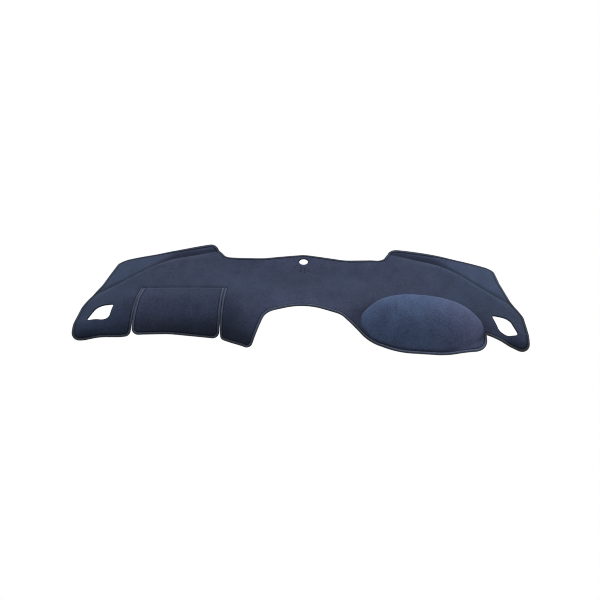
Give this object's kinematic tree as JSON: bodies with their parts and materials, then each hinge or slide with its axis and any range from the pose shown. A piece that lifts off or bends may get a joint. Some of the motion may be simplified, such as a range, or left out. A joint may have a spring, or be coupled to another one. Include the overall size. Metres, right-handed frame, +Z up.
{
  "type": "dashboard cover mat",
  "caption": "Heat-moulded carpet dashboard cover with overlocked edge, instrument hood dome, airbag flap, turned-up rear wings and vent cut-outs.",
  "frame": {"origin": "middle of the cover's bounding box in plan, on the level its lowest edges rest on", "axes": "+X along the dashboard towards the instrument hood's end, +Y towards the windscreen, +Z up"},
  "size_m": [1.3882, 0.5878, 0.1476],
  "materials": {
    "carpet": "matte"
  },
  "bodies": {
    "root": {"dash_mat": "carpet"}
  },
  "joints": []
}
